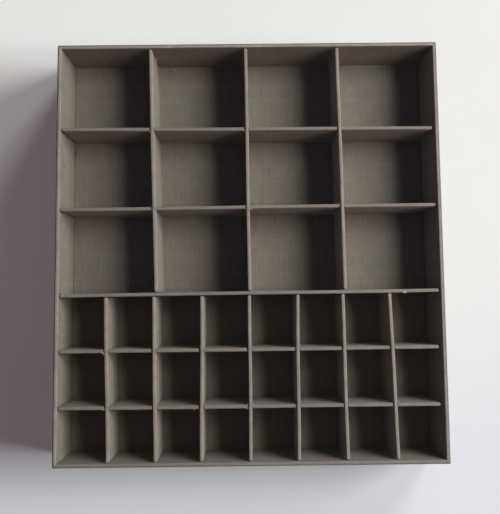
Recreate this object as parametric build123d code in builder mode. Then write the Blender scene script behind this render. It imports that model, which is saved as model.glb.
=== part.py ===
from build123d import *
import os

# A partitioned tray of grey board covered in book cloth. Loose dividers, slotted
# half through where they cross, part it into large and small cells.
# Millimetres. The origin is the centre of the underside, +Z is up out of the tray,
# and +Y points to the back, where the large cells are.

# Tray
tray_width = 230.0
tray_length = 251.0
tray_height = 32.0
board = 1.8                # grey board of the tray
cloth = 0.3                # book cloth, glued down
corner_radius = 0.8        # upright corners of the covered tray
rim_radius = 0.6           # outer shoulder of the rim
lining_lap = 1.6           # lining turned out over the rim
lining_radius = 0.25       # inner shoulder of the rim
turn_in = 15.0             # cover turned in under the base
base_paper = 0.3           # paper pasted under the base
base_paper_inset = 3.0
seam_gap = 0.2             # where the two ends of the cover meet
seam_from_back = 14.0

# Dividers
divider_board = 1.4        # their grey board is thinner than the tray's
divider_drop = 1.0         # tops of the dividers below the rim
end_play = 0.3             # between a divider's end and the face beside it
rail_slot_play = 0.8       # slots in the rails, wider than the uprights in them
rail_slot_shift = 0.3      # the uprights stand near the right sides of those slots
upright_slot_play = 0.6    # slots in the uprights, wider than the rails in them
lap_play = 0.2             # height left between the two slots of a crossing
nose_length = 1.1          # cloth pressed together past each end of the board
nose_radius = 0.9          # rounding of the nose, seen from above
top_radius = 0.5           # rounded top edges

# Layout. The large cells lie behind the middle wall, the small ones before it.
large_zone = 147.9         # clear length behind the middle wall
upper_rows = [49.2, 45.6]  # clear lengths of the rows behind each upper rail
middle_wall_short = 0.8    # gap at its right end
upper_rails_short = [1.5, 1.0]
lower_rails_short = [2.0, 2.2]

# The dividers stand a little askew, by hand. Those that run from left to right: how far
# the left end and the right end stand towards the back from their even place.
middle_askew = (-0.5, 0.5)
upper_rails_askew = [(0.6, -0.5), (-0.4, 0.5)]
lower_rails_askew = [(-0.6, 0.0), (-0.5, -0.3)]

# Uprights, counted from the left: how far the back end and the front end stand to the
# right of the even spacing
upper_askew = [(-2.1, 1.5), (-1.0, 0.0), (-2.2, -0.2)]
lower_askew = [
    (0.1, 2.0), (0.1, 1.1), (0.2, -0.5), (-0.2, -0.3),
    (-0.2, -0.8), (-1.9, -0.9), (-2.6, 0.0),
]

# What follows from them
wall = board + 2 * cloth                     # a covered wall
divider_wall = divider_board + 2 * cloth     # a covered divider
inner_width = tray_width - 2 * wall
inner_length = tray_length - 2 * wall
base_level = base_paper + cloth              # underside of the base board
base_top = base_level + board
floor_level = base_top + cloth               # on the floor lining
board_top = tray_height - 2 * cloth          # top of the wall boards
divider_height = tray_height - divider_drop - floor_level
lap_height = divider_height / 2
left_face = -inner_width / 2
right_face = inner_width / 2
back_face = inner_length / 2
front_face = -inner_length / 2
middle_y = back_face - large_zone - divider_wall / 2
small_zone = inner_length - large_zone - divider_wall

os.makedirs("parts", exist_ok=True)


def finish(piece, name):
    piece.part.label = name
    export_step(piece.part, f"parts/{name}.step")


# Boards of the tray: the walls stand on the base, the side walls between the others

def base_board():
    with BuildPart() as piece:
        with BuildSketch(Plane.XY.offset(base_level)):
            RectangleRounded(
                tray_width - 2 * cloth, tray_length - 2 * cloth, corner_radius - cloth
            )
        extrude(amount=board)
    finish(piece, "base_board")


def end_board(name, side):
    centre_y = side * (tray_length / 2 - cloth - board / 2)
    with BuildPart() as piece:
        with BuildSketch(Plane.XY.offset(base_top)):
            with Locations((0, centre_y)):
                Rectangle(tray_width - 2 * cloth, board)
        extrude(amount=board_top - base_top)
        outer_corners = piece.edges().filter_by(Axis.Z).sort_by(Axis.Y, reverse=side > 0)[:2]
        fillet(outer_corners, corner_radius - cloth)
    finish(piece, name)


def side_board(name, side):
    centre_x = side * (tray_width / 2 - cloth - board / 2)
    with BuildPart() as piece:
        with BuildSketch(Plane.XY.offset(base_top)):
            with Locations((centre_x, 0)):
                Rectangle(board, tray_length - 2 * (cloth + board))
        extrude(amount=board_top - base_top)
    finish(piece, name)


# The outer cover is one strip of cloth round all four walls, turned in over the rim
# and under the base. Its ends meet on the right wall.

def outer_cover():
    with BuildPart() as piece:
        with BuildSketch(Plane.XY.offset(base_paper)):
            RectangleRounded(tray_width, tray_length, corner_radius)
        extrude(amount=tray_height - cloth - base_paper)
        fillet(piece.faces().sort_by(Axis.Z)[-1].edges(), rim_radius)
        with BuildSketch(Plane.XY.offset(base_level)):
            RectangleRounded(
                tray_width - 2 * cloth, tray_length - 2 * cloth, corner_radius - cloth
            )
        extrude(amount=board_top - base_level, mode=Mode.SUBTRACT)
        with BuildSketch(Plane.XY.offset(board_top)):
            Rectangle(inner_width + 2 * cloth, inner_length + 2 * cloth)
        extrude(amount=cloth, mode=Mode.SUBTRACT)
        with BuildSketch(Plane.XY.offset(base_paper)):
            Rectangle(tray_width - 2 * turn_in, tray_length - 2 * turn_in)
        extrude(amount=cloth, mode=Mode.SUBTRACT)
        with BuildSketch(Plane.XY):
            with Locations((tray_width / 2, tray_length / 2 - seam_from_back)):
                Rectangle(2 * turn_in + wall, seam_gap)
        extrude(amount=tray_height, mode=Mode.SUBTRACT)
    finish(piece, "outer_cover")


# Paper under the base: it covers the turned-in edges and fills the space between them

def base_paper_sheet():
    with BuildPart() as piece:
        with BuildSketch(Plane.XY):
            Rectangle(tray_width - 2 * base_paper_inset, tray_length - 2 * base_paper_inset)
        extrude(amount=base_paper)
        with BuildSketch(Plane.XY.offset(base_paper)):
            Rectangle(tray_width - 2 * turn_in, tray_length - 2 * turn_in)
        extrude(amount=cloth)
    finish(piece, "base_paper")


# Linings: a sheet on the floor, and a strip on each wall that is turned out over the
# rim and mitred at the corners

def floor_lining():
    with BuildPart() as piece:
        with BuildSketch(Plane.XY.offset(base_top)):
            Rectangle(inner_width, inner_length)
        extrude(amount=cloth)
    finish(piece, "floor_lining")


def wall_lining(name, share):
    rim_margin = wall - lining_lap
    with BuildPart() as piece:
        with BuildSketch(Plane.XY.offset(base_top)):
            Rectangle(inner_width + 2 * cloth, inner_length + 2 * cloth)
        extrude(amount=tray_height - base_top)
        with BuildSketch(Plane.XY.offset(tray_height - cloth)):
            Rectangle(tray_width - 2 * rim_margin, tray_length - 2 * rim_margin)
        extrude(amount=cloth)
        with BuildSketch(Plane.XY.offset(base_top)):
            Rectangle(inner_width, inner_length)
        extrude(amount=tray_height - base_top, mode=Mode.SUBTRACT)
        rim_edges = piece.edges().filter_by_position(Axis.Z, tray_height, tray_height)
        inner_edges = [
            edge for edge in rim_edges
            if abs(edge.center().X) < tray_width / 2 - rim_margin - cloth
            and abs(edge.center().Y) < tray_length / 2 - rim_margin - cloth
        ]
        fillet(inner_edges, lining_radius)
        with BuildSketch(Plane.XY):
            Polygon(*share, align=None)
        extrude(amount=tray_height, mode=Mode.INTERSECT)
    finish(piece, name)


def wall_linings():
    x, y = tray_width / 2, tray_length / 2
    depth = 2 * wall
    front_share = [(-x, -y), (x, -y), (x - depth, depth - y), (depth - x, depth - y)]
    right_share = [(x, -y), (x, y), (x - depth, y - depth), (x - depth, depth - y)]
    wall_lining("front_lining", front_share)
    wall_lining("back_lining", [(-px, -py) for px, py in front_share])
    wall_lining("right_lining", right_share)
    wall_lining("left_lining", [(-px, -py) for px, py in right_share])


# A divider is a strip of board in a sleeve of cloth. The cloth is folded over the top
# and pressed together past the ends of the board, in a rounded nose. It runs between two
# points on the floor, and is slotted where it crosses others, between two heights.

def divider(name, start, end, crossings=(), slot_width=0.0, slot_heights=(0.0, 0.0)):
    slot_low, slot_high = slot_heights
    length = (end - start).length
    centre = (start + end) / 2
    along = (end - start).normalized()
    plane = Plane(origin=centre, x_dir=along, z_dir=(0, 0, 1))
    across = Plane(origin=centre, x_dir=plane.y_dir, z_dir=along)
    slots = [(point - centre).dot(along) for point in crossings]

    with BuildPart() as strip:
        with BuildSketch(plane):
            Rectangle(length - 2 * nose_length, divider_board)
        extrude(amount=divider_height - cloth)
        if slots:
            with BuildSketch(plane.offset(slot_low)):
                with Locations(*[(place, 0) for place in slots]):
                    Rectangle(slot_width, 2 * wall)
            extrude(amount=slot_high - slot_low, mode=Mode.SUBTRACT)
    finish(strip, name + "_board")

    with BuildPart() as sleeve:
        with BuildSketch(across) as section:
            Rectangle(divider_wall, divider_height, align=(Align.CENTER, Align.MIN))
            fillet(section.vertices().group_by(Axis.Y)[-1], top_radius)
        extrude(amount=length / 2, both=True)
        with BuildSketch(plane):
            RectangleRounded(length, divider_wall, nose_radius)
        extrude(amount=divider_height, mode=Mode.INTERSECT)
        with BuildSketch(plane):
            Rectangle(length - 2 * nose_length, divider_board)
        extrude(amount=divider_height - cloth, mode=Mode.SUBTRACT)
        if slots:
            with BuildSketch(plane.offset(slot_low)):
                with Locations(*[(place, 0) for place in slots]):
                    Rectangle(slot_width, 2 * wall)
            extrude(amount=slot_high - slot_low, mode=Mode.SUBTRACT)
    finish(sleeve, name + "_cover")


# A line across the tray is given by its Y at the left face and at the right face

def y_across(line, x):
    left_y, right_y = line
    return left_y + (right_y - left_y) * (x - left_face) / inner_width


def crossing(line, back_end, front_end):
    # where a line across the tray meets an upright
    lean = (front_end.X - back_end.X) / (front_end.Y - back_end.Y)
    slope = (line[1] - line[0]) / inner_width
    x_at_zero = back_end.X - lean * back_end.Y
    y = y_across(line, x_at_zero) / (1 - slope * lean)
    return Vector(x_at_zero + lean * y, y, floor_level)


# Rails run from the left wall towards the right one and are slotted from above.
# Each stops a little short of the right wall.

def rail(name, line, short, crossings=()):
    left_x = left_face + end_play
    right_x = right_face - short
    divider(
        name,
        Vector(left_x, y_across(line, left_x), floor_level),
        Vector(right_x, y_across(line, right_x), floor_level),
        crossings,
        slot_width=divider_wall + rail_slot_play,
        slot_heights=(lap_height - lap_play / 2, divider_height),
    )


# Uprights run from back to front in their zone, slotted from below over the rails

def upright(name, back_end, front_end, crossings):
    divider(
        name,
        front_end,
        back_end,
        crossings,
        slot_width=divider_wall + upright_slot_play,
        slot_heights=(0, lap_height + lap_play / 2),
    )


# A grid is the rails and uprights of one zone, between the lines of its back and front
# faces

def grid(name, zone_back, zone_front, rail_lines, rails_short, askew):
    columns = len(askew) + 1
    cell_width = (inner_width - (columns - 1) * divider_wall) / columns
    uprights = []
    for number, (back_shift, front_shift) in enumerate(askew, start=1):
        even_x = left_face + number * (cell_width + divider_wall) - divider_wall / 2
        back_x = even_x + back_shift
        front_x = even_x + front_shift
        uprights.append((
            Vector(back_x, y_across(zone_back, back_x) - end_play, floor_level),
            Vector(front_x, y_across(zone_front, front_x) + end_play, floor_level),
        ))

    for number, (line, short) in enumerate(zip(rail_lines, rails_short), start=1):
        crossings = [crossing(line, *ends) for ends in uprights]
        slot_centres = [point - Vector(rail_slot_shift, 0) for point in crossings]
        rail(f"{name}_rail_{number}", line, short, slot_centres)
    for number, ends in enumerate(uprights, start=1):
        crossings = [crossing(line, *ends) for line in rail_lines]
        upright(f"{name}_upright_{number}", *ends, crossings)


def askew_line(y, shifts):
    return tuple(y + shift for shift in shifts)


def upper_grid():
    rail_lines = []
    row_back = back_face
    for row, shifts in zip(upper_rows, upper_rails_askew):
        rail_lines.append(askew_line(row_back - row - divider_wall / 2, shifts))
        row_back -= row + divider_wall
    zone_back = (back_face, back_face)
    zone_front = askew_line(middle_y + divider_wall / 2, middle_askew)
    grid("upper", zone_back, zone_front, rail_lines, upper_rails_short, upper_askew)


def lower_grid():
    rows = len(lower_rails_short) + 1
    row = (small_zone - (rows - 1) * divider_wall) / rows
    zone_back = askew_line(middle_y - divider_wall / 2, middle_askew)
    zone_front = (front_face, front_face)
    rail_lines = []
    for number, shifts in enumerate(lower_rails_askew, start=1):
        even_y = middle_y - number * (row + divider_wall)
        rail_lines.append(askew_line(even_y, shifts))
    grid("lower", zone_back, zone_front, rail_lines, lower_rails_short, lower_askew)


base_board()
end_board("front_board", -1)
end_board("back_board", 1)
side_board("left_board", -1)
side_board("right_board", 1)
outer_cover()
base_paper_sheet()
floor_lining()
wall_linings()
rail("middle_wall", askew_line(middle_y, middle_askew), middle_wall_short)
upper_grid()
lower_grid()
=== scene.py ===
import math
import random

import bmesh
import bpy
from mathutils import Matrix, Vector, geometry, noise


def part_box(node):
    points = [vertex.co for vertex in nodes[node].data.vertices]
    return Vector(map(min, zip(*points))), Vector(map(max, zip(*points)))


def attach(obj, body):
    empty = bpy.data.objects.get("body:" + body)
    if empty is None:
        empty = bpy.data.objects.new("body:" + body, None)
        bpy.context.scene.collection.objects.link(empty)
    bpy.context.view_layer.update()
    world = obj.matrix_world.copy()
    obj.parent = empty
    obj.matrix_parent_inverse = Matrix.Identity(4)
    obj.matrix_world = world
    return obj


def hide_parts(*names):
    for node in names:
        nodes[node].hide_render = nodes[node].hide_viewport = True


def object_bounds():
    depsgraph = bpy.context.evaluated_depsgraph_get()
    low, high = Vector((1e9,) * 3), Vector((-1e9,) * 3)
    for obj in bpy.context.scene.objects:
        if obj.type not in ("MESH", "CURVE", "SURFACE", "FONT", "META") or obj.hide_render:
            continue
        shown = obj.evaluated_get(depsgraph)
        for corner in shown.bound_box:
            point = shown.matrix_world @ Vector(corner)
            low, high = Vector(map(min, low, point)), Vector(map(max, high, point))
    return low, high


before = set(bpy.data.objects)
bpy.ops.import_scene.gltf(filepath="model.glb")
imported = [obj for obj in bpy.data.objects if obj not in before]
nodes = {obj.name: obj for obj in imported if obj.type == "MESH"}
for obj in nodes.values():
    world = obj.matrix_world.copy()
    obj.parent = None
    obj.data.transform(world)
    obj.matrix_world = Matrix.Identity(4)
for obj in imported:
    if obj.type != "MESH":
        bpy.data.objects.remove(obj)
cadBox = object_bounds()
mm = 0.001

# sizes that the tray's pieces share, in mm, the same as the CAD's
traySizes = {
    "wall": 2.4,             # board with cloth on both faces
    "divider": 2.0,          # the dividers' board is thinner
    "cloth": 0.3,
    "cornerRadius": 0.8,
    "rimRadius": 0.6,
    "liningLap": 1.6,        # lining turned out over the rim
    "turnIn": 15.0,
    "paperThickness": 0.3,
    "paperInset": 3.0,
    "seamFromBack": 14.0,
}
low, high = cadBox
trayWidth = (high.x - low.x) / mm
trayLength = (high.y - low.y) / mm
trayHeight = high.z / mm
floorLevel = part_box("floor_lining")[1].z / mm
innerWidth = trayWidth - 2 * traySizes["wall"]
innerLength = trayLength - 2 * traySizes["wall"]


def toLinear(hexColour):
    channels = [int(hexColour[i:i + 2], 16) / 255 for i in (1, 3, 5)]
    linear = [c / 12.92 if c <= 0.04045 else ((c + 0.055) / 1.055) ** 2.4 for c in channels]
    return (*linear, 1.0)


def addNode(tree, kind, settings=None, links=None):
    node = tree.nodes.new(kind)
    for name, value in (settings or {}).items():
        setattr(node, name, value)
    for socket, source in (links or {}).items():
        if isinstance(source, bpy.types.NodeSocket):
            tree.links.new(source, node.inputs[socket])
        else:
            node.inputs[socket].default_value = source
    return node


def newMaterial(name):
    material = bpy.data.materials.new(name)
    material.use_nodes = True
    material.node_tree.nodes.clear()
    return material, material.node_tree


def finishMaterial(tree, look, colour, height, pattern):
    # every material here ends alike: matte, in fine relief, its roughness following a pattern
    rough = addNode(tree, "ShaderNodeMapRange", links={
        "Value": pattern, "To Min": look["roughness"][0], "To Max": look["roughness"][1]})
    relief = addNode(tree, "ShaderNodeBump", links={
        "Height": height, "Strength": look["relief"], "Distance": look["depth"] * mm})
    shader = addNode(tree, "ShaderNodeBsdfPrincipled", links={
        "Base Color": colour, "Roughness": rough.outputs[0], "Normal": relief.outputs[0],
        "Specular IOR Level": look["specular"], "Sheen Weight": look["sheen"]})
    addNode(tree, "ShaderNodeOutputMaterial", links={"Surface": shader.outputs[0]})


# Book cloth: cotton, plain woven in matte grey-brown and paper-backed. To the eye it is
# a dull even surface with faint crossing lines, soft patches where the glue took
# differently, and paler threads where folds are rubbed. The same pale tone paints
# highlights along the upper edges of the dividers and the wall linings.
liningCloth = {
    "warm": "#7f766c",       # brown-grey ground
    "green": "#7e786d",      # the greener patches
    "worn": "#a8a296",
    "threadPitch": 0.8,      # mm; the real cloth has about 0.5, too fine to show here
    "wanderLength": 9.0,     # mm over which a thread strays from its line and comes back
    "wander": 0.9,           # how far it strays, in pitches
    "weftSeed": 311.0,       # gives the weft other shades than the warp
    "slubLength": 14.0,      # mm, length of a thicker stretch of a thread
    "weftSlubs": 0.24,       # the weft's share in the slubs
    "patch": 26.0,           # mm, size of the colour patches
    "mottle": 7.0,           # mm, size of the small clouds
    "threadContrast": 0.14,
    "slubContrast": 0.32,
    "mottleContrast": 0.14,
    "relief": 0.6,
    "depth": 0.05,           # mm
    "roughness": (0.82, 0.94),
    "specular": 0.2,
    "sheen": 0.06,
}
coverCloth = dict(liningCloth, warm="#68635d", green="#67635c", worn="#8a8479")
dividerCloth = dict(liningCloth, warm="#81786e", green="#807a6f", worn="#a8a296")


def makeWovenCloth(name, look):
    material, tree = newMaterial(name)
    place = addNode(tree, "ShaderNodeUVMap", {"uv_map": "clothPlan"}).outputs["UV"]
    where = addNode(tree, "ShaderNodeTexCoord").outputs["Object"]
    pitch, slubLength = look["threadPitch"] * mm, look["slubLength"] * mm

    # threads wander a little, so that no line is ruled
    wander = addNode(tree, "ShaderNodeTexNoise", links={
        "Vector": place, "Scale": 1 / (look["wanderLength"] * mm), "Detail": 1.0})
    strayed = addNode(tree, "ShaderNodeVectorMath", {"operation": "MULTIPLY_ADD"}, {
        0: wander.outputs["Color"], 1: (look["wander"] * pitch,) * 3, 2: place})
    inThreads = addNode(tree, "ShaderNodeVectorMath", {"operation": "SCALE"}, {
        0: strayed.outputs[0], "Scale": 1 / pitch})
    split = addNode(tree, "ShaderNodeSeparateXYZ", links={0: inThreads.outputs[0]})

    # one pass for the warp and one for the weft: each thread's own shade and its round back
    shades, backs, counts = [], [], []
    for axis, seed in (("X", 0.0), ("Y", look["weftSeed"])):
        count = addNode(tree, "ShaderNodeMath", {"operation": "FLOOR"}, {0: split.outputs[axis]})
        seeded = addNode(tree, "ShaderNodeMath", {"operation": "ADD"}, {0: count.outputs[0], 1: seed})
        shade = addNode(tree, "ShaderNodeTexWhiteNoise", {"noise_dimensions": "1D"}, {"W": seeded.outputs[0]})
        turn = addNode(tree, "ShaderNodeMath", {"operation": "MULTIPLY"}, {
            0: split.outputs[axis], 1: math.pi})
        wave = addNode(tree, "ShaderNodeMath", {"operation": "SINE"}, {0: turn.outputs[0]})
        back = addNode(tree, "ShaderNodeMath", {"operation": "ABSOLUTE"}, {0: wave.outputs[0]})
        shades.append(shade.outputs["Value"])
        backs.append(back.outputs[0])
        counts.append(count.outputs[0])

    # plain weave: the warp lies on top wherever the two counts add up to an odd number
    both = addNode(tree, "ShaderNodeMath", {"operation": "ADD"}, {0: counts[0], 1: counts[1]})
    half = addNode(tree, "ShaderNodeMath", {"operation": "MULTIPLY"}, {0: both.outputs[0], 1: 0.5})
    rest = addNode(tree, "ShaderNodeMath", {"operation": "FRACT"}, {0: half.outputs[0]})
    warpOver = addNode(tree, "ShaderNodeMath", {"operation": "GREATER_THAN"}, {0: rest.outputs[0], 1: 0.25})
    threadShade, threadHeight = [addNode(tree, "ShaderNodeMix", links={
        "Factor": warpOver.outputs[0], "A": weft, "B": warp}) for warp, weft in (shades, backs)]

    # slubs: stretches where a thread is thicker and paler, drawn along both directions
    slubs = []
    for stretch in ((1 / pitch, 1 / slubLength, 1.0), (1 / slubLength, 1 / pitch, 1.0)):
        drawn = addNode(tree, "ShaderNodeVectorMath", {"operation": "MULTIPLY"}, {
            0: strayed.outputs[0], 1: stretch})
        slubs.append(addNode(tree, "ShaderNodeTexNoise", links={
            "Vector": drawn.outputs[0], "Scale": 1.0, "Detail": 2.0, "Roughness": 0.6}))
    slub = addNode(tree, "ShaderNodeMix", links={
        "Factor": look["weftSlubs"], "A": slubs[0].outputs["Fac"], "B": slubs[1].outputs["Fac"]})

    # the ground's colour in soft patches
    patches = addNode(tree, "ShaderNodeTexNoise", links={
        "Vector": where, "Scale": 1 / (look["patch"] * mm), "Detail": 3.0, "Roughness": 0.55})
    spread = addNode(tree, "ShaderNodeMapRange", links={
        "Value": patches.outputs["Fac"], "From Min": 0.36, "From Max": 0.64})
    ground = addNode(tree, "ShaderNodeMix", {"data_type": "RGBA"}, {
        "Factor": spread.outputs["Result"], 6: toLinear(look["warm"]), 7: toLinear(look["green"])})

    # its tone: thread shades, slubs and clouds each lighten or darken it
    mottle = addNode(tree, "ShaderNodeTexNoise", links={
        "Vector": where, "Scale": 1 / (look["mottle"] * mm), "Detail": 4.0, "Roughness": 0.7})
    factors = []
    for value, least, most, contrast in (
        (threadShade.outputs[0], 0.0, 1.0, look["threadContrast"]),
        (slub.outputs[0], 0.25, 0.75, look["slubContrast"]),
        (mottle.outputs["Fac"], 0.3, 0.7, look["mottleContrast"]),
    ):
        factors.append(addNode(tree, "ShaderNodeMapRange", links={
            "Value": value, "From Min": least, "From Max": most,
            "To Min": 1 - contrast / 2, "To Max": 1 + contrast / 2}).outputs[0])
    woven = addNode(tree, "ShaderNodeMath", {"operation": "MULTIPLY"}, {0: factors[0], 1: factors[1]})
    tone = addNode(tree, "ShaderNodeMath", {"operation": "MULTIPLY"}, {0: woven.outputs[0], 1: factors[2]})
    toned = addNode(tree, "ShaderNodeVectorMath", {"operation": "SCALE"}, {
        0: ground.outputs[2], "Scale": tone.outputs[0]})

    # rubbed folds and painted highlights on upper edges, as painted on the mesh, broken up by the clouds
    wear = addNode(tree, "ShaderNodeAttribute", {"attribute_name": "wear"})
    broken = addNode(tree, "ShaderNodeMapRange", links={
        "Value": mottle.outputs["Fac"], "From Min": 0.3, "From Max": 0.7, "To Min": 0.6, "To Max": 1.2})
    rubbed = addNode(tree, "ShaderNodeMath", {"operation": "MULTIPLY", "use_clamp": True}, {
        0: wear.outputs["Fac"], 1: broken.outputs[0]})
    wornAndHighlightTone = addNode(tree, "ShaderNodeVectorMath", {"operation": "SCALE"}, {
        0: toLinear(look["worn"])[:3], "Scale": tone.outputs[0]})
    colour = addNode(tree, "ShaderNodeMix", {"data_type": "RGBA"}, {
        "Factor": rubbed.outputs[0], 6: toned.outputs[0], 7: wornAndHighlightTone.outputs[0]})
    finishMaterial(tree, look, colour.outputs[2], threadHeight.outputs[0], slub.outputs[0])
    return material


# Grey board: recycled paper pulp, pressed and guillotined. To the eye a felted, flecked
# grey with fine layers along its cut edges.
pressedBoard = {
    "pulp": "#8b8479", "dark": "#6f695f", "fleck": "#b1a99b",
    "felt": 2.5,             # mm, size of the pulp's clouds
    "fleckSize": 1.1,        # mm from fleck to fleck
    "fleckReach": 0.16,      # the share of that distance that a fleck fills
    "layer": 0.35,           # mm across the layers
    "layerRun": 6.0,         # mm along them
    "relief": 0.5, "depth": 0.08, "roughness": (0.86, 0.98), "specular": 0.2, "sheen": 0.0,
}


def makePressedGreyBoard(name, look):
    material, tree = newMaterial(name)
    where = addNode(tree, "ShaderNodeTexCoord").outputs["Object"]
    felt = addNode(tree, "ShaderNodeTexNoise", links={
        "Vector": where, "Scale": 1 / (look["felt"] * mm), "Detail": 6.0, "Roughness": 0.7})
    flecks = addNode(tree, "ShaderNodeTexVoronoi", links={
        "Vector": where, "Scale": 1 / (look["fleckSize"] * mm)})
    isFleck = addNode(tree, "ShaderNodeMath", {"operation": "LESS_THAN"}, {
        0: flecks.outputs["Distance"], 1: look["fleckReach"]})
    across = 1 / (look["layer"] * mm)
    layers = addNode(tree, "ShaderNodeVectorMath", {"operation": "MULTIPLY"}, {
        0: where, 1: (across, across, 1 / (look["layerRun"] * mm))})
    layering = addNode(tree, "ShaderNodeTexNoise", links={
        "Vector": layers.outputs[0], "Scale": 1.0, "Detail": 2.0})
    pulp = addNode(tree, "ShaderNodeMix", {"data_type": "RGBA"}, {
        "Factor": felt.outputs["Fac"], 6: toLinear(look["dark"]), 7: toLinear(look["pulp"])})
    flecked = addNode(tree, "ShaderNodeMix", {"data_type": "RGBA"}, {
        "Factor": isFleck.outputs[0], 6: pulp.outputs[2], 7: toLinear(look["fleck"])})
    height = addNode(tree, "ShaderNodeMath", {"operation": "ADD"}, {
        0: felt.outputs["Fac"], 1: layering.outputs["Fac"]})
    finishMaterial(tree, look, flecked.outputs[2], height.outputs[0], felt.outputs["Fac"])
    return material


# Lining paper: laid paper, calendered. To the eye a smooth brown-grey sheet with fine
# ribs and a wider line every 25 mm.
laidPaper = {
    "sheet": "#7a7268", "rib": "#6d665d",
    "ribPitch": 1.2,         # mm
    "chainPitch": 25.0,      # mm
    "fibre": 4.0,            # mm, size of the clouds that the fibres make
    "ribShare": 0.45,        # how strong a rib is beside a chain line
    "chainSharpness": 24.0,
    "relief": 0.4, "depth": 0.04, "roughness": (0.68, 0.82), "specular": 0.3, "sheen": 0.0,
}


def makeLaidPaper(name, look):
    material, tree = newMaterial(name)
    place = addNode(tree, "ShaderNodeUVMap", {"uv_map": "clothPlan"}).outputs["UV"]
    # at scale 1 the bands of a wave texture lie a tenth of pi apart
    bands = (("Y", look["ribPitch"], 0.4, 1.0), ("X", look["chainPitch"], 0.3, 2.0))
    ribs, chains = [addNode(tree, "ShaderNodeTexWave", {"wave_type": "BANDS", "bands_direction": axis}, {
        "Vector": place, "Scale": 1 / (pitch * mm) / 10 * math.pi,
        "Distortion": stray, "Detail": detail}) for axis, pitch, stray, detail in bands]
    chainLine = addNode(tree, "ShaderNodeMath", {"operation": "POWER"}, {
        0: chains.outputs["Fac"], 1: look["chainSharpness"]})
    fibres = addNode(tree, "ShaderNodeTexNoise", links={
        "Vector": place, "Scale": 1 / (look["fibre"] * mm), "Detail": 5.0, "Roughness": 0.65})
    lines = addNode(tree, "ShaderNodeMath", {"operation": "MULTIPLY_ADD"}, {
        0: ribs.outputs["Fac"], 1: look["ribShare"], 2: chainLine.outputs[0]})
    marks = addNode(tree, "ShaderNodeMath", {"operation": "MULTIPLY", "use_clamp": True}, {
        0: lines.outputs[0], 1: fibres.outputs["Fac"]})
    colour = addNode(tree, "ShaderNodeMix", {"data_type": "RGBA"}, {
        "Factor": marks.outputs[0], 6: toLinear(look["sheet"]), 7: toLinear(look["rib"])})
    finishMaterial(tree, look, colour.outputs[2], marks.outputs[0], fibres.outputs["Fac"])
    return material


# Cotton thread: spun and dyed with the cloth. To the eye matte and hairy, paler where its
# end has frayed open and dark where it still holds the dye.
spunThread = {
    "core": "#a49d92", "tip": "#d6d2c8",
    "twist": 0.7,            # mm from turn to turn
    "relief": 0.5, "depth": 0.05, "roughness": (0.8, 0.95), "specular": 0.2, "sheen": 0.15,
}
# the dyed look also serves two threads that are painted shadows
dyedAndShadowThread = dict(spunThread, core="#4c4640", tip="#6a635b")


def makeSpunThread(name, look):
    material, tree = newMaterial(name)
    where = addNode(tree, "ShaderNodeTexCoord").outputs["Object"]
    twist = addNode(tree, "ShaderNodeTexNoise", links={
        "Vector": where, "Scale": 1 / (look["twist"] * mm), "Detail": 3.0, "Roughness": 0.7})
    colour = addNode(tree, "ShaderNodeMix", {"data_type": "RGBA"}, {
        "Factor": twist.outputs["Fac"], 6: toLinear(look["core"]), 7: toLinear(look["tip"])})
    finishMaterial(tree, look, colour.outputs[2], twist.outputs["Fac"], twist.outputs["Fac"])
    return material


# Table paper: white cartridge paper, uncoated. To the eye flat and pale, very slightly
# cockled. Its front is painted a little darker and bluer: a painted shade.
tablePaper = {
    "near": "#e8eaf0", "far": "#f0f0ee",
    "paintedShadeUpTo": -160.0,      # mm along the table, where the near tint starts to fade
    "farFrom": 0.0,          # mm, where the far tint has taken over
    "cockle": 180.0,         # mm from swell to swell
    "relief": 0.25, "depth": 4.0, "roughness": (0.8, 0.95), "specular": 0.2, "sheen": 0.0,
}


def makeCartridgePaper(name, look):
    material, tree = newMaterial(name)
    where = addNode(tree, "ShaderNodeTexCoord").outputs["Object"]
    split = addNode(tree, "ShaderNodeSeparateXYZ", links={0: where})
    outOfPaintedShade = addNode(tree, "ShaderNodeMapRange", {"interpolation_type": "SMOOTHSTEP"}, {
        "Value": split.outputs["Y"], "From Min": look["paintedShadeUpTo"] * mm, "From Max": look["farFrom"] * mm})
    cockles = addNode(tree, "ShaderNodeTexNoise", links={
        "Vector": where, "Scale": 1 / (look["cockle"] * mm), "Detail": 3.0, "Roughness": 0.5})
    # the near tint is a painted shade over the front of the table, fading out towards the back
    colour = addNode(tree, "ShaderNodeMix", {"data_type": "RGBA"}, {
        "Factor": outOfPaintedShade.outputs[0], 6: toLinear(look["near"]), 7: toLinear(look["far"])})
    finishMaterial(tree, look, colour.outputs[2], cockles.outputs["Fac"], cockles.outputs["Fac"])
    return material


wovenLining = makeWovenCloth("bookClothWovenLining", liningCloth)
wovenCover = makeWovenCloth("bookClothWovenCover", coverCloth)
wovenDivider = makeWovenCloth("bookClothWovenDivider", dividerCloth)
greyBoard = makePressedGreyBoard("greyBoardPressed", pressedBoard)
basePaper = makeLaidPaper("liningPaperLaid", laidPaper)
threadPale = makeSpunThread("cottonThreadFrayed", spunThread)
threadDark = makeSpunThread("cottonThreadDyedAndShadow", dyedAndShadowThread)
cartridgePaper = makeCartridgePaper("cartridgePaperUncoated", tablePaper)
print("materials made")


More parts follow.
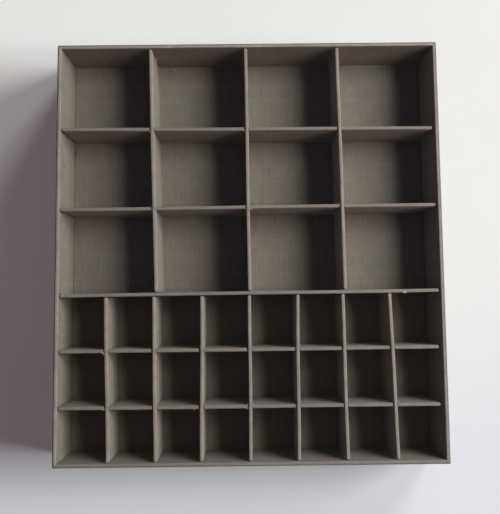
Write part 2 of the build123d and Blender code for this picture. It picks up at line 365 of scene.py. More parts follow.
# stage, light and camera: a window to the right of the tray, and a dim room
tableTop = {"halfWidth": 0.9, "drop": 0.0001, "segments": 8}  # in m; it lies a hair under the tray
lighting = {
    # name: azimuth, elevation, distance, (width, height) in m, power in W, colour, what it lights
    "lamps": {
        "windowOnTray": (13.0, 38.2, 0.9, (0.6, 0.62), 12.4, "#fbfdff", "tray"),
        "curtainOnTray": (-46.0, 28.0, 0.9, (0.4, 0.4), 1.05, "#ffb4b8", "tray"),
        "skyOnTray": (180.0, 50.0, 3.0, (2.5, 2.5), 4.0, "#8fa4ff", "tray"),
        "windowOnTable": (7.0, 25.5, 5.0, (3.6, 1.5), 392.0, "#fafdfb", "table"),
        "skyOnTable": (57.0, 13.0, 5.0, (1.7, 1.1), 195.0, "#f8fdfc", "table"),
        "roomOnTable": (180.0, 70.0, 5.0, (5.0, 5.0), 42.0, "#dcc0cb", "table"),
    },
    "roomColour": "#d2c1c6", "roomStrength": 0.097,
    "backdrop": "#e9eaea",
}
camera = {
    "at": (-0.00074, -0.02996, 0.37388), "turn": (4.241, -0.147, -0.626),     # m and degrees
    "lens": 40.66, "sensor": 36.0,                                            # mm
}


def layTable():
    floorMesh = bpy.data.meshes.new("tableTop")
    sheet = bmesh.new()
    bmesh.ops.create_grid(
        sheet, x_segments=tableTop["segments"], y_segments=tableTop["segments"], size=tableTop["halfWidth"])
    sheet.to_mesh(floorMesh)
    sheet.free()
    table = bpy.data.objects.new("tableTop", floorMesh)
    table.location.z = -tableTop["drop"]
    floorMesh.materials.append(cartridgePaper)
    bpy.context.scene.collection.objects.link(table)
    return table


def hangLamps(table):
    # the table takes a lower light than the tray, which gives it a wide soft shadow
    groups = {}
    for name, state in (("table", "INCLUDE"), ("tray", "EXCLUDE")):
        groups[name] = bpy.data.collections.new(name + "Light")
        groups[name].objects.link(table)
        groups[name].collection_objects[0].light_linking.link_state = state
    for name, (azimuth, elevation, distance, size, power, colour, lit) in lighting["lamps"].items():
        lamp = bpy.data.lights.new(name, "AREA")
        lamp.shape = "RECTANGLE"
        lamp.size, lamp.size_y = size
        lamp.energy = power
        lamp.color = toLinear(colour)[:3]
        light = bpy.data.objects.new(name, lamp)
        turn, rise = math.radians(azimuth), math.radians(elevation)
        towards = Vector((math.cos(turn) * math.cos(rise), math.sin(turn) * math.cos(rise), math.sin(rise)))
        across = Vector((-math.sin(turn), math.cos(turn), 0))
        axes = Matrix((across, towards.cross(across), towards)).transposed()
        light.matrix_world = Matrix.Translation(towards * distance) @ axes.to_4x4()
        light.light_linking.receiver_collection = groups[lit]
        light.visible_camera = False
        bpy.context.scene.collection.objects.link(light)


def paintRoom():
    # the camera, glossy and clear surfaces see a pale backdrop; the rest gets the room's dim light
    world = bpy.data.worlds.new("room")
    world.use_nodes = True
    tree = world.node_tree
    tree.nodes.clear()
    path = addNode(tree, "ShaderNodeLightPath")
    seen = addNode(tree, "ShaderNodeMath", {"operation": "MAXIMUM"}, {
        0: path.outputs["Is Camera Ray"], 1: path.outputs["Is Glossy Ray"]})
    seen = addNode(tree, "ShaderNodeMath", {"operation": "MAXIMUM"}, {
        0: seen.outputs[0], 1: path.outputs["Is Transmission Ray"]})
    room = addNode(tree, "ShaderNodeBackground", links={
        "Color": toLinear(lighting["roomColour"]), "Strength": lighting["roomStrength"]})
    pale = addNode(tree, "ShaderNodeBackground", links={
        "Color": toLinear(lighting["backdrop"]), "Strength": 1.0})
    shown = addNode(tree, "ShaderNodeMixShader", links={
        0: seen.outputs[0], 1: room.outputs[0], 2: pale.outputs[0]})
    addNode(tree, "ShaderNodeOutputWorld", links={"Surface": shown.outputs[0]})
    bpy.context.scene.world = world


def placeCamera():
    lens = bpy.data.cameras.new("viewFromAbove")
    lens.lens = camera["lens"]
    lens.sensor_width = camera["sensor"]
    viewer = bpy.data.objects.new("viewFromAbove", lens)
    viewer.location = camera["at"]
    viewer.rotation_euler = [math.radians(a) for a in camera["turn"]]
    bpy.context.scene.collection.objects.link(viewer)
    bpy.context.scene.camera = viewer


bpy.context.scene.view_settings.view_transform = "Standard"
hangLamps(layTable())
paintRoom()
placeCamera()
print("stage, light and camera set")


# every cloth piece is a loft: rings of points, with the cloth's own plan as its UVs
def loft(rings, along, up, closed=False, skip=None, flipped=False):
    count = len(rings[0])
    points = [point for ring in rings for point in ring]
    faces, plans = [], []
    for k in range(len(rings) - 1):
        for i in range(count if closed else count - 1):
            if skip and skip(i, k):
                continue
            j = (i + 1) % count
            faces.append((k * count + i, k * count + j, (k + 1) * count + j, (k + 1) * count + i))
            left, right = along[i], along[i + 1]
            plans.append(((left, up[k]), (right, up[k]), (right, up[k + 1]), (left, up[k + 1])))
    if flipped:
        faces = [tuple(reversed(f)) for f in faces]
        plans = [tuple(reversed(p)) for p in plans]
    return points, faces, plans


sharpAngle = 38              # degrees; an edge that turns by more stays crisp


def makePiece(name, points, faces, plans, wear, material, thickness=0.0, evenOffset=True):
    mesh = bpy.data.meshes.new(name)
    mesh.from_pydata([[c * mm for c in p] for p in points], [], faces)
    layer = mesh.uv_layers.new(name="clothPlan")
    layer.data.foreach_set("uv", [c * mm for face in plans for corner in face for c in corner])
    painted = mesh.attributes.new("wear", "FLOAT", "POINT")
    painted.data.foreach_set("value", wear)
    mesh.materials.append(material)
    piece = bpy.data.objects.new(name, mesh)
    bpy.context.scene.collection.objects.link(piece)
    if thickness:
        solid = piece.modifiers.new("clothThickness", "SOLIDIFY")
        solid.thickness = thickness * mm
        solid.offset = -1.0
        solid.use_even_offset = evenOffset
        bpy.context.view_layer.update()
        solidPiece = piece.evaluated_get(bpy.context.evaluated_depsgraph_get())
        piece.modifiers.clear()
        piece.data = bpy.data.meshes.new_from_object(solidPiece)
    piece.data.shade_smooth()
    piece.data.set_sharp_from_angle(angle=math.radians(sharpAngle))
    return piece


def ripple(x, y, z, length):
    # smooth noise between -1 and 1; a fixed number among x, y and z only picks its slice
    return noise.noise(Vector((x, y, z)) / length)


def spaced(start, end, step):
    count = max(1, round((end - start) / step))
    return [start + (end - start) * i / count for i in range(count + 1)]


def runAlong(spots):
    # how far along a line each of its points lies
    run = [0.0]
    for a, b in zip(spots, spots[1:]):
        run.append(run[-1] + math.dist(a, b))
    return run


def roundedTop(radius, top, turns):
    # the fold over an upper edge, as pairs of inset and level
    angles = [math.radians(a) for a in turns]
    return [(radius - radius * math.cos(a), top - radius + radius * math.sin(a)) for a in angles]


def wearAndHighlightNear(top, reach, z):
    # rubbing and painted highlight set in below an upper edge and are full within 0.8 mm
    return max(0.0, min(1.0, (z - (top - reach)) / 0.8))


def dividerHeight(divider):
    lowest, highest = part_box(divider + "_cover")
    return (highest.z - lowest.z) / mm


# outer cover: one strip round the walls, turned in under the base and over the rim; its
# two ends meet on the right wall, where a little thread stands out of the cut
outerCover = {
    "step": 3.0, "seamGap": 0.2, "seamFray": 0.12,
    "sink": (0.04, 17.0),  # mm deep, mm from dip to dip
    "turnInRows": (9.0, 4.0, 1.6, 0.7),  # mm in from the wall's face
    "foldRadius": 0.35, "leastRadius": 0.02,
    "levels": (3.0, 6.0, 10.0, 15.0, 20.0, 25.0, 29.0),  # mm up the wall
    "measuredAt": 15.0,  # the level where the strip is measured
    "rimRows": (0.9, 1.4, 2.1),
    "rimWear": 0.12, "rimWearDrop": 0.25, "footWear": 0.5, "footWearRise": 0.2,
    "wearWidth": 0.6, "wearPatch": 9.0,
}


def rimPlan(inset, gapFrom, gapTo):
    # points of a rounded rectangle, from just behind the seam round to just before it
    step = outerCover["step"]
    halfWidth, halfLength = trayWidth / 2 - inset, trayLength / 2 - inset
    radius = max(traySizes["cornerRadius"] - inset, outerCover["leastRadius"])
    sideEnd = trayLength / 2 - traySizes["cornerRadius"]
    plan = [(halfWidth, y) for y in spaced(gapTo, sideEnd, step)]
    for number, (sideX, sideY) in enumerate(((1, 1), (-1, 1), (-1, -1), (1, -1))):
        middleX, middleY = sideX * (halfWidth - radius), sideY * (halfLength - radius)
        for turn in (15, 30, 45, 60, 75):
            angle = math.radians(number * 90 + turn)
            plan.append((middleX + radius * math.cos(angle), middleY + radius * math.sin(angle)))
        # then the straight side that follows this corner, unless it is the one with the seam
        if number in (0, 2):
            plan += [(-t * middleX, sideY * halfLength) for t in spaced(-1, 1, step / (trayWidth / 2))]
        elif number == 1:
            plan += [(sideX * halfWidth, -t * middleY) for t in spaced(-1, 1, step / (trayLength / 2))]
    return plan + [(halfWidth, y) for y in spaced(-sideEnd, gapFrom, step)]


def makeOuterCover():
    look, sizes = outerCover, traySizes
    seamAt = trayLength / 2 - sizes["seamFromBack"]
    top = trayHeight - sizes["cloth"]
    bottom = sizes["paperThickness"]
    fold = look["foldRadius"]
    profile = [(inset, bottom) for inset in (sizes["turnIn"], *look["turnInRows"])]
    profile += [(fold - fold * math.sin(math.radians(a)), bottom + fold - fold * math.cos(math.radians(a)))
                for a in (0, 30, 60, 90)]
    profile += [(0.0, z) for z in (*look["levels"], top - sizes["rimRadius"])]
    profile += roundedTop(sizes["rimRadius"], top, (18, 36, 54, 72, 90))
    profile += [(inset, top) for inset in look["rimRows"]]

    rings = []
    depth, dipLength = look["sink"]
    for inset, z in profile:
        # the two cut ends fray each in its own way up the wall
        frayFrom, frayTo = [ripple(z * 3.0, end, 7.0, 1.0) * look["seamFray"] for end in (0.0, 40.0)]
        gap = look["seamGap"] / 2
        ring = []
        for x, y in rimPlan(inset, seamAt - gap + frayFrom, seamAt + gap + frayTo):
            # the glued cloth sinks in a hair here and there
            sink = abs(depth * ripple(x, y, z, dipLength)) if inset == 0 else 0.0
            if abs(x / trayWidth) > abs(y / trayLength):
                ring.append((x - math.copysign(sink, x), y, z))
            else:
                ring.append((x, y - math.copysign(sink, y), z))
        rings.append(ring)
    outline = rings[profile.index((0.0, look["measuredAt"]))]
    along = runAlong([(x, y) for x, y, z in outline])
    points, faces, plans = loft(rings, along, runAlong(profile))
    wear = []
    for x, y, z in points:
        rubbed = max(0.0, 1 - abs(z - (top - look["rimWearDrop"])) / look["wearWidth"]) * look["rimWear"]
        rubbed += max(0.0, 1 - abs(z - bottom - look["footWearRise"]) / look["wearWidth"]) * look["footWear"]
        wear.append(rubbed * (0.55 + 0.9 * abs(ripple(x, y, 0, look["wearPatch"]))))
    piece = makePiece(
        "outerCoverCloth", points, faces, plans, wear, wovenCover, sizes["cloth"], evenOffset=False)
    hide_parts("outer_cover")
    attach(piece, "tray")


makeOuterCover()

# wall linings: a strip on each wall, turned out over the rim and mitred at the corners
wallLining = {
    "step": 3.0, "shoulder": 0.45, "mitreGap": 0.05,
    "footRow": 0.3,  # mm above the floor
    "levels": (6.0, 10.0, 15.0, 20.0, 25.0, 29.0, 30.6),  # mm up the wall
    "rimRows": (0.8, 1.2),  # mm out over the rim
    "lapWander": 0.14, "lapLengths": (11.0, 2.5), "lapDip": 0.03,
    "faceWave": (0.05, 24.0), "faceWaveUpTo": 30.0,
    # the rims' pale top is rubbing and, stronger on the back and left rims, a painted highlight
    "rimWear": {"front": 0.1, "right": 0.25, "back": 0.6, "left": 0.6},
    "wearReach": 0.9, "wearPatch": 14.0,
}


def makeWallLinings():
    look, sizes = wallLining, traySizes
    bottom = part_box("front_lining")[0].z / mm
    profile = [(0.0, z) for z in (bottom, floorLevel + look["footRow"], *look["levels"])]
    profile += roundedTop(look["shoulder"], trayHeight, (0, 22, 45, 68, 90))
    profile += [(offset, trayHeight) for offset in (*look["rimRows"], sizes["liningLap"])]
    wave, waveLength = look["faceWave"]
    longWander, shortWander = look["lapLengths"]

    for number, (name, half, face) in enumerate((
        ("front", innerWidth / 2, innerLength / 2), ("right", innerLength / 2, innerWidth / 2),
        ("back", innerWidth / 2, innerLength / 2), ("left", innerLength / 2, innerWidth / 2),
    )):
        turned = Matrix.Rotation(number * math.pi / 2, 3, "Z")
        stations = spaced(-1.0, 1.0, look["step"] / half)
        rings = []
        for offset, z in profile:
            ring = []
            for s in stations:
                x = s * (half + offset - look["mitreGap"] / 2)
                out, dip = offset, 0.0
                if offset == sizes["liningLap"]:
                    # the lap's cut edge strays, and is pressed down a little
                    stray = ripple(x, 31.0 * number, 0, longWander)
                    stray += 0.5 * ripple(x, 9.0, 3.0 * number, shortWander)
                    out += look["lapWander"] * stray
                    dip = look["lapDip"]
                elif offset == 0.0 and bottom < z < look["faceWaveUpTo"]:
                    out += wave * max(0.0, ripple(x, z, 17.0 * number, waveLength))
                ring.append(tuple(turned @ Vector((x, -face - out, z - dip))))
            rings.append(ring)
        along = [s * half for s in stations]
        points, faces, plans = loft(rings, along, runAlong(profile), flipped=True)
        wear = []
        for x, y, z in points:
            # the rim's pale tone: rubbing, with a painted highlight on the back and left rims
            rubbed = wearAndHighlightNear(trayHeight, look["wearReach"], z) * look["rimWear"][name]
            wear.append(rubbed * (0.7 + 0.6 * abs(ripple(x, y, 5.0, look["wearPatch"]))))
        piece = makePiece(name + "LiningCloth", points, faces, plans, wear, wovenLining, sizes["cloth"])
        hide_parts(name + "_lining")
        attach(piece, "tray")


makeWallLinings()


def strayIn(x, y, xs, ys, look):
    # a sheet's cut edges stray in from a ruled line, here and there
    most, length = look["edgeWander"]
    placedX, placedY = x, y
    if x in (xs[0], xs[-1]):
        placedX = x - math.copysign(most * abs(ripple(0, y, 3.0, length)), x)
    if y in (ys[0], ys[-1]):
        placedY = y - math.copysign(most * abs(ripple(x, 0, 9.0, length)), y)
    return placedX, placedY


# floor lining: a sheet cut a hair small, so a dark line runs round it
floorLining = {
    "step": 5.0, "gap": 0.12, "edgeRow": 0.25, "firstRow": 1.0,
    "thickness": 0.2,  # mm, thinner than the cloth, since the sheet settles a little
    "edgeWander": (0.1, 6.0), "settle": (0.04, 30.0), "edgeDrop": 0.08,
    "edgeWear": 0.25, "paleWear": 0.9, "paleFrom": 62.0,  # mm to the right of the middle
    "wearPatch": 5.0,
}


def makeFloorLining():
    look = floorLining
    xs, ys = [], []
    for places, size in ((xs, innerWidth), (ys, innerLength)):
        half = size / 2 - look["gap"]
        places += [-half, -half + look["edgeRow"]]
        places += spaced(-half + look["firstRow"], half - look["firstRow"], look["step"])
        places += [half - look["edgeRow"], half]
    settle, settleLength = look["settle"]
    rings, wear = [], []
    for y in ys:
        ring = []
        for x in xs:
            edge = x in (xs[0], xs[-1]) or y in (ys[0], ys[-1])
            drop = settle * abs(ripple(x, y, 1.0, settleLength)) + (look["edgeDrop"] if edge else 0.0)
            ring.append((*strayIn(x, y, xs, ys, look), floorLevel - drop))
            rubbed = look["edgeWear"] if edge else 0.0
            # the cut edge shows pale along the back of the last large cell
            if y >= ys[-2] and x > look["paleFrom"]:
                rubbed = look["paleWear"]
            wear.append(rubbed * (0.6 + 0.8 * abs(ripple(x, y, 2.0, look["wearPatch"]))))
        rings.append(ring)
    points, faces, plans = loft(rings, xs, ys)
    piece = makePiece("floorLiningCloth", points, faces, plans, wear, wovenLining, look["thickness"])
    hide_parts("floor_lining")
    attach(piece, "tray")


makeFloorLining()

# base paper: a sheet pasted over the turned-in cloth, with the cloth's edge just felt
# through it
baseSheet = {
    "step": 6.0, "thickness": 0.28, "edgeWander": (0.15, 20.0),
    "ridge": 0.03,           # mm that the sheet lies higher inside the turned-in cloth
    "slope": 0.6,            # mm on each side of that cloth's edge
}


def makeBasePaper():
    look, sizes = baseSheet, traySizes
    turnX, turnY = trayWidth / 2 - sizes["turnIn"], trayLength / 2 - sizes["turnIn"]
    xs, ys = [], []
    for places, size, turn in ((xs, trayWidth, turnX), (ys, trayLength, turnY)):
        half = size / 2 - sizes["paperInset"]
        bends = {side * (turn + out) for side in (-1, 1) for out in (-look["slope"], look["slope"])}
        places += sorted(set(spaced(-half, half, look["step"])) | bends)
    rings = []
    for y in ys:
        ring = []
        for x in xs:
            inside = abs(x) < turnX and abs(y) < turnY
            ring.append((*strayIn(x, y, xs, ys, look), look["ridge"] if inside else 0.0))
        rings.append(ring)
    points, faces, plans = loft(rings, xs, ys, flipped=True)
    wear = [0.0] * len(points)
    piece = makePiece("basePaperSheet", points, faces, plans, wear, basePaper, look["thickness"])
    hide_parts("base_paper")
    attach(piece, "tray")


makeBasePaper()
print("tray covered and lined")

# dividers: each sleeve is a strip of cloth folded over the top of its board, pressed
# together past the board's ends and slotted with it
sleeves = {
    "step": 3.0, "levels": (4.0, 8.0, 11.5, 17.5, 21.0, 24.5),  # mm along the strip and up its side
    "nose": 1.1, "noseRadius": 0.9, "noseTurns": (-72, -48, -24, 0), "pinch": 0.22,
    "topRadius": 0.5, "topTurns": (22, 45, 68, 90),
    "bow": 0.1, "bowWaves": 2.3, "bowAtFoot": 0.4,  # the foot's share of the bow at the top
    "topWave": (0.08, 13.0), "faceWave": (0.05, 16.0), "slotFray": (0.07, 1.3),
    "railSlot": 2.8, "railSlotShift": 0.3, "uprightSlot": 2.6, "lapPlay": 0.2,
    # the uprights' tops are painted paler than the rails': rubbing, and a painted highlight where they face
    # the light
    "uprightWear": 0.34, "railWear": 0.04, "wearReach": 1.0, "wearPatch": 7.0,
}


def stripLine(node, axis):
    # the two ends of a divider's board, at the middle of its thickness
    ends = []
    corners = [v.co for v in nodes[node].data.vertices]
    for pick in (min, max):
        limit = pick(c[axis] for c in corners)
        near = [c for c in corners if abs(c[axis] - limit) < 0.2 * mm]
        ends.append(Vector((sum(c.x for c in near), sum(c.y for c in near))) / len(near) / mm)
    return ends


def sleevePlan(inset, stations, length):
    # one ring round a sleeve: its front, the pressed end, its back and the other end
    look, half = sleeves, traySizes["divider"] / 2
    radius = look["noseRadius"]
    bend, flat = radius - inset, half - radius
    turns = [math.radians(a) for a in look["noseTurns"]]
    nose = [(math.cos(a) * bend, math.sin(a) * bend - flat) for a in turns]
    nose += [(bend - look["pinch"], 0.0)]
    nose += [(x, -y) for x, y in reversed(nose[:-1])]
    plan = [(s, inset - half) for s in stations]
    plan += [(length - radius + x, y) for x, y in nose]
    plan += [(s, half - inset) for s in reversed(stations)]
    plan += [(radius - x, -y) for x, y in nose]
    return plan


def sleeveSkin(profile, stations, inSlot, slotLow, slotHigh, height, length):
    # the folded strip with its slots cut out, and the cloth across its top edge
    rings = [[(x, y, z) for x, y in sleevePlan(inset, stations, length)] for inset, z in profile]
    outline, up, half = rings[0], runAlong(profile), traySizes["divider"] / 2
    count, nosePoints = len(stations), 2 * len(sleeves["noseTurns"]) + 1
    backFirst = count + nosePoints
    backLast = backFirst + count - 1

    def cutAway(i, k):
        if i < count - 1:
            station = i
        elif backFirst <= i < backLast:
            station = backLast - 1 - i
        else:
            return False
        return inSlot[station] and slotLow < (profile[k][1] + profile[k + 1][1]) / 2 < slotHigh

    points, faces, plans = loft(rings, runAlong(outline + outline[:1]), up, closed=True, skip=cutAway)
    first = (len(profile) - 1) * len(outline)

    def addTop(corners):
        faces.append(tuple(first + c for c in corners))
        plans.append(tuple((outline[c][0], up[-1] + outline[c][1] + half) for c in corners))

    for i in range(count - 1):
        if not (inSlot[i] and slotHigh >= height):
            addTop((i, i + 1, backLast - i - 1, backLast - i))
    addTop([count - 1 + n for n in range(nosePoints + 2)])
    addTop([backLast + n for n in range(nosePoints + 1)] + [0])
    return points, faces, plans


def makeSleeve(node, line, slots, slotWidth, slotLow, slotHigh, wearAndHighlightShare, seed):
    look = sleeves
    height = dividerHeight(node)
    start, end = line
    along = (end - start).normalized()
    across = Vector((-along.y, along.x))
    start, end = start - along * look["nose"], end + along * look["nose"]
    length = (end - start).length

    # stations along the strip, with one on each side of every slot
    cuts = sorted({round(p + side * slotWidth / 2, 3) for p in slots for side in (-1, 1)})
    marks = [look["noseRadius"]] + cuts + [length - look["noseRadius"]]
    stations = marks[:1]
    for a, b in zip(marks, marks[1:]):
        stations += spaced(a, b, look["step"])[1:]
    middles = [(a + b) / 2 for a, b in zip(stations, stations[1:])]
    inSlot = [any(abs(middle - p) < slotWidth / 2 for p in slots) for middle in middles]

    # levels up the side, with one at the slot's end, then the rounded top
    slotEnd = slotLow if slotLow > 0 else slotHigh
    profile = [(0.0, z) for z in sorted({0.0, *look["levels"], slotEnd, height - look["topRadius"]})]
    profile += roundedTop(look["topRadius"], height, look["topTurns"])
    points, faces, plans = sleeveSkin(profile, stations, inSlot, slotLow, slotHigh, height, length)

    # each strip bows and waves a little in its own way
    phase = seed * 1.7
    topWave, topLength = look["topWave"]
    faceWave, faceLength = look["faceWave"]
    fray, frayLength = look["slotFray"]
    placed, wear = [], []
    for x, y, z in points:
        share = z / height
        atSlot = any(abs(x - c) < 0.01 for c in cuts)
        alongBy = x + (fray * ripple(x, z * 2.0, y + seed, frayLength) if atSlot else 0.0)
        bow = look["bow"] * math.sin(math.pi * x / length * look["bowWaves"] + phase)
        bow *= look["bowAtFoot"] + (1 - look["bowAtFoot"]) * share
        acrossBy = y + bow + math.copysign(faceWave * min(0.0, ripple(x, z, phase, faceLength)), y)
        level = z + topWave * ripple(x, phase, 3.0, topLength) * share ** 4
        spot = start + along * alongBy + across * acrossBy
        placed.append((spot.x, spot.y, floorLevel + level))
        # the top edge's pale tone: rubbing, and on the uprights a painted highlight
        rubbed = wearAndHighlightNear(height, look["wearReach"], z)
        rubbed *= 0.65 + 0.9 * abs(ripple(x, phase, 8.0, look["wearPatch"]))
        wear.append(rubbed * wearAndHighlightShare)
    name = node.replace("_", "") + "Sleeve"
    piece = makePiece(name, placed, faces, plans, wear, wovenDivider, traySizes["cloth"])
    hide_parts(node + "_cover")
    return piece


def crossing(rail, upright):
    # where the middle lines of two dividers meet
    return geometry.intersect_line_line_2d(rail[0], rail[1], upright[0], upright[1])


def makeDividers():
    look = sleeves
    height = dividerHeight("middle_wall")
    lap, play = height / 2, look["lapPlay"] / 2
    made = {}
    middle = stripLine("middle_wall_board", 0)
    wall = makeSleeve("middle_wall", middle, [], 0.0, 0.0, 0.0, look["railWear"], 3)
    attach(wall, "middle_wall")
    for zone, uprights, seed in (("upper", 3, 11), ("lower", 7, 40)):
        rails = [stripLine(f"{zone}_rail_{n}_board", 0) for n in (1, 2)]
        lines = [stripLine(f"{zone}_upright_{n}_board", 1) for n in range(1, uprights + 1)]
        for n, rail in enumerate(rails, start=1):
            reached = [(crossing(rail, line) - rail[0]).length for line in lines]
            slots = [r + look["nose"] - look["railSlotShift"] for r in reached]
            piece = makeSleeve(
                f"{zone}_rail_{n}", rail, slots, look["railSlot"], lap - play, height, look["railWear"],
                seed + n)
            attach(piece, f"{zone}_grid")
            made[f"{zone}_rail_{n}"] = (rail, slots)
        for n, line in enumerate(lines, start=1):
            slots = [(crossing(rail, line) - line[0]).length + look["nose"] for rail in rails]
            piece = makeSleeve(
                f"{zone}_upright_{n}", line, slots, look["uprightSlot"], 0.0, lap + play, look["uprightWear"],
                seed + 5 + n)
            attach(piece, f"{zone}_upright_{n}")
    return made


railSlots = makeDividers()
print("dividers covered")

# loose threads: single cotton threads stand out of every cut in the cloth, and a few lie
# where they fell; two dark ones are painted shadows. A chafe is a rubbed spot where the fibres
# have lifted
looseThreads = {
    "seed": 21, "radius": 0.06, "steps": 4, "sides": 6, "tip": 0.45,
    "perSlot": 4, "shortest": 0.5, "longest": 1.7, "slotPale": 0.75, "slotRadii": (0.8, 1.5),
    "leanIntoGap": (-0.1, 0.5), "leanAway": (-0.2, 0.0),
    "seamThreads": 10, "seamLengths": (0.5, 1.3), "seamRadius": 0.7,
    "tuftLengths": (0.6, 1.3), "tuftRadii": (1.0, 1.8),
    "curl": 0.35, "sag": 0.25,
}
# each stray thread: body, thread, radius and way in mm, with heights above the floor
strayThreads = [
    ("tray", "pale", 0.13, [
        (-49.4, 121.6, 0.1), (-48.7, 122.1, 0.6), (-47.9, 121.9, 0.9), (-47.3, 120.9, 0.5),
        (-47.5, 119.9, 0.15)]),
    # a dark thread beside this curl, a painted shadow of it
    ("tray", "dark", 0.12, [
        (-50.6, 120.0, 0.1), (-49.8, 121.0, 0.2), (-49.3, 122.2, 0.5), (-49.6, 122.9, 1.3)]),
    ("tray", "dark", 0.13, [
        (-112.1, 67.2, 0.1), (-111.7, 66.2, 0.3), (-112.0, 65.2, 0.2), (-111.6, 64.4, 0.1)]),
    ("tray", "dark", 0.11, [(-112.2, 60.6, 0.1), (-111.8, 59.8, 0.3), (-112.1, 59.0, 0.1)]),
    ("tray", "pale", 0.09, [
        (-20.0, -111.0, 0.1), (-19.2, -110.4, 0.3), (-18.8, -109.2, 0.5), (-19.4, -108.2, 0.2)]),
    ("upper_upright_1", "pale", 0.12, [
        (-57.85, 121.9, 18.2), (-57.0, 121.2, 18.0), (-56.6, 120.2, 17.4), (-57.0, 119.5, 16.6),
        (-57.6, 119.3, 16.2)]),
    ("lower_grid", "pale", 0.11, [
        (-86.4, -59.9, 28.1), (-86.3, -60.7, 27.9), (-86.5, -61.5, 27.2), (-86.3, -62.0, 26.2)]),
    ("lower_grid", "pale", 0.10, [
        (-2.3, -92.0, 28.2), (-2.6, -92.8, 28.2), (-2.8, -93.4, 27.7), (-2.6, -93.8, 27.0)]),
    ("lower_grid", "pale", 0.12, [
        (53.8, -91.0, 28.2), (53.6, -91.8, 28.4), (53.2, -92.6, 28.3), (52.9, -93.2, 27.8)]),
    ("lower_grid", "pale", 0.10, [(64.2, -57.7, 26.3), (64.5, -57.2, 26.9), (65.2, -56.9, 26.9)]),
    ("lower_upright_3", "dark", 0.14, [(-27.1, -35.1, 15.4), (-26.8, -35.6, 15.6), (-27.0, -36.1, 15.2)]),
    # a dark thread at the middle wall's left end, a painted shadow of its pinched end
    ("middle_wall", "dark", 0.15, [(-111.9, -25.2, 28.1), (-111.3, -25.5, 28.3), (-110.9, -26.2, 28.2)]),
    ("upper_upright_3", "pale", 0.1, [
        (55.2, 4.6, 3.3), (55.3, -5.0, 3.2), (55.42, -14.0, 3.3), (55.53, -23.7, 3.2)]),
    ("lower_upright_7", "pale", 0.16, [
        (81.5, -28.1, 27.9), (82.2, -27.95, 28.1), (83.0, -27.95, 28.1), (83.8, -28.1, 27.9)]),
    ("lower_upright_1", "pale", 0.12, [
        (-83.9, -121.9, 28.2), (-83.3, -122.3, 28.5), (-82.7, -122.1, 28.3), (-82.4, -121.5, 28.0)]),
]
# each tuft of threads at a rail's slot: root in mm, way out and number of threads
tufts = [
    ((-86.4, -59.8, 28.0), (0.1, -0.9, 0.1), 9),
    ((-87.2, -60.0, 28.1), (0.9, 0.1, 0.3), 4),
    ((-85.8, -92.2, 28.0), (0.1, -0.6, 0.4), 8),
    ((-2.4, -92.0, 28.0), (0.1, -0.6, 0.5), 8),
    ((1.2, -90.9, 28.0), (0.5, 0.6, 0.3), 5),
    ((53.5, -91.6, 28.0), (-0.3, -0.8, 0.4), 12),
    ((-33.2, -92.6, 28.0), (0.6, -0.3, 0.3), 5),
    ((-54.9, -59.7, 28.0), (0.6, -0.3, 0.3), 4),
]
# each chafe: body, middle, length and width in mm, turn in degrees, number of fibres
chafes = [
    ("middle_wall", (91.7, -26.2, 28.22), 3.0, 0.9, 0, 22),
    ("upper_upright_2", (1.4, 24.7, 28.25), 1.6, 0.9, 90, 12),
    ("middle_wall", (-110.8, -26.1, 28.22), 2.2, 0.8, 20, 12),
    ("tray", (-112.9, -20.4, 29.0), 2.6, 0.3, 90, 10),
]
bundles = {}                 # pairs of radius and way, for each body and shade of thread


def addThread(body, shade, radius, way):
    bundles.setdefault((body, shade), []).append((radius, way))


def smoothWay(way):
    # a curve through the way's points
    spots = [Vector(p) for p in way]
    line = []
    for a, b, c, d in zip([spots[0]] + spots, spots, spots[1:], spots[2:] + [spots[-1]]):
        for step in range(looseThreads["steps"]):
            t = step / looseThreads["steps"]
            pull = (c - a) + t * (2 * a - 5 * b + 4 * c - d) + t * t * (3 * b - a - 3 * c + d)
            line.append(b + 0.5 * t * pull)
    return line + [spots[-1]]


def makeThreads(name, body, material, ways):
    look = looseThreads
    sides = look["sides"]
    turns = [2 * math.pi * n / sides for n in range(sides)]
    points, faces, plans = [], [], []
    for radius, way in ways:
        line = smoothWay(way)
        rings = []
        for i, spot in enumerate(line):
            ahead = (line[min(i + 1, len(line) - 1)] - line[max(i - 1, 0)]).normalized()
            side = ahead.cross(Vector((0.31, 0.22, 0.92))).normalized()  # a direction no thread follows
            other = ahead.cross(side)
            share = i / (len(line) - 1)
            thick = radius * (1 - (1 - look["tip"]) * share ** 2)
            rings.append([tuple(spot + (side * math.cos(a) + other * math.sin(a)) * thick) for a in turns])
        along = [2 * math.pi * radius * n / sides for n in range(sides + 1)]
        first = len(points)
        tube, skin, plan = loft(rings, along, runAlong(line), closed=True)
        points += tube
        faces += [tuple(first + c for c in face) for face in skin]
        plans += plan
        last = first + len(tube) - sides
        for cap in (range(first + sides - 1, first - 1, -1), range(last, last + sides)):
            faces.append(tuple(cap))
            plans.append(tuple((along[n], 0.0) for n in range(sides)))
    piece = makePiece(name, points, faces, plans, [0.0] * len(points), material)
    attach(piece, body)


def frayWay(root, out, length):
    # a short thread that leaves a cut, sags and curls
    curl, sag = looseThreads["curl"], looseThreads["sag"]
    bend = Vector([random.uniform(-curl, curl) for _ in range(3)])
    way = [root - out * 0.15, root + out * length * 0.4, root + out * length * 0.75 + bend * length * 0.4]
    way.append(root + out * length * 0.95 + bend * length + Vector((0, 0, -sag * length)))
    return way


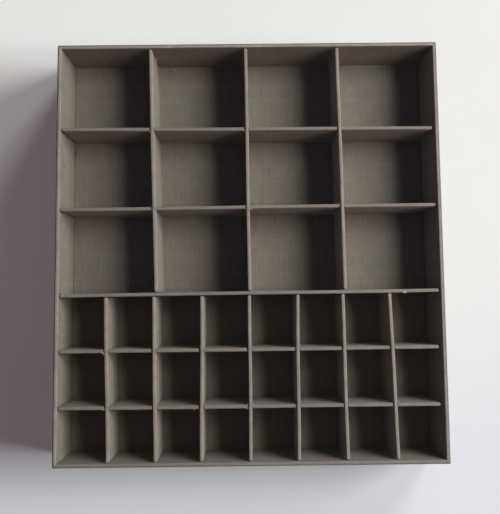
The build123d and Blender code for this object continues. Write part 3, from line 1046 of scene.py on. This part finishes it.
def frayRailSlots():
    look = looseThreads
    height = dividerHeight("middle_wall")
    half = traySizes["divider"] / 2
    for name, ((start, end), slots) in railSlots.items():
        along = (end - start).normalized()
        across = Vector((-along.y, along.x, 0))
        along = along.to_3d()
        origin = start.to_3d() - along * sleeves["nose"]
        body = name.split("_")[0] + "_grid"
        for slot in slots:
            for _ in range(random.randint(1, look["perSlot"])):
                edge, face = random.choice((-1, 1)), random.choice((-1, 1))
                # the gap is wide on the left of an upright, so threads there may lean into it
                lean = random.uniform(*(look["leanIntoGap"] if edge < 0 else look["leanAway"]))
                rise = height * random.choice((1.0, 1.0, random.uniform(0.6, 0.95)))
                root = origin + along * (slot + edge * sleeves["railSlot"] / 2)
                root += across * face * half * random.uniform(0.7, 1.0)
                root.z = floorLevel + rise - 0.15
                out = across * face * random.uniform(0.3, 1.0) - along * edge * lean
                out = (out + Vector((0, 0, random.uniform(0.0, 0.4)))).normalized()
                way = frayWay(root, out, random.uniform(look["shortest"], look["longest"]))
                shade = "pale" if random.random() < look["slotPale"] else "dark"
                addThread(body, shade, look["radius"] * random.uniform(*look["slotRadii"]), way)


def fraySeam():
    look = looseThreads
    seamAt = trayLength / 2 - traySizes["seamFromBack"]
    face = trayWidth / 2 - 0.03  # keeps the threads from standing far out of the side
    for _ in range(look["seamThreads"]):
        z = random.uniform(3.0, trayHeight - 1.5)
        y = seamAt + random.choice((-1, 1)) * outerCover["seamGap"] / 2
        root = Vector((trayWidth / 2 - 0.12, y, z))
        out = Vector((0.0, random.uniform(-1, 1), random.uniform(-1, 1))).normalized()
        way = frayWay(root, out, random.uniform(*look["seamLengths"]))
        way = way[:1] + [Vector((min(p.x, face), p.y, p.z)) for p in way[1:]]
        addThread("tray", "cover", look["radius"] * look["seamRadius"], way)


def frayTufts():
    look = looseThreads
    for root, out, count in tufts:
        for _ in range(count):
            spread = Vector([random.uniform(-0.3, 0.3), random.uniform(-0.2, 0.2), floorLevel])
            heading = (Vector(out) + Vector([random.uniform(-0.5, 0.5) for _ in range(3)])).normalized()
            way = frayWay(Vector(root) + spread, heading, random.uniform(*look["tuftLengths"]))
            addThread("lower_grid", "pale", look["radius"] * random.uniform(*look["tuftRadii"]), way)


def liftChafes():
    for body, middle, length, width, turn, count in chafes:
        along = Vector((math.cos(math.radians(turn)), math.sin(math.radians(turn)), 0))
        across = Vector((-along.y, along.x, 0))
        for _ in range(count):
            centre = Vector(middle) + along * random.gauss(0, length / 4)
            centre += across * random.uniform(-width, width) / 2
            centre.z += floorLevel
            run = (along + across * random.uniform(-0.6, 0.6)) * random.uniform(0.3, 0.9)
            lift = Vector((0, 0, random.uniform(0.05, 0.2)))
            way = [centre - run, centre - run * 0.3 + lift, centre + run * 0.3 + lift * 0.8, centre + run]
            addThread(body, "pale", looseThreads["radius"], way)


def makeLooseThreads():
    random.seed(looseThreads["seed"])
    frayRailSlots()
    fraySeam()
    for body, shade, radius, way in strayThreads:
        addThread(body, shade, radius, [(x, y, floorLevel + z) for x, y, z in way])
    frayTufts()
    liftChafes()
    threads = {"pale": threadPale, "dark": threadDark, "cover": threadDark}
    for (body, shade), ways in bundles.items():
        name = body.title().replace("_", "") + shade.title() + "Threads"
        name = name[0].lower() + name[1:]
        makeThreads(name, body, threads[shade], ways)


makeLooseThreads()
print("loose threads placed")

for name, node in nodes.items():
    node.data.materials.clear()
    node.data.materials.append(greyBoard)
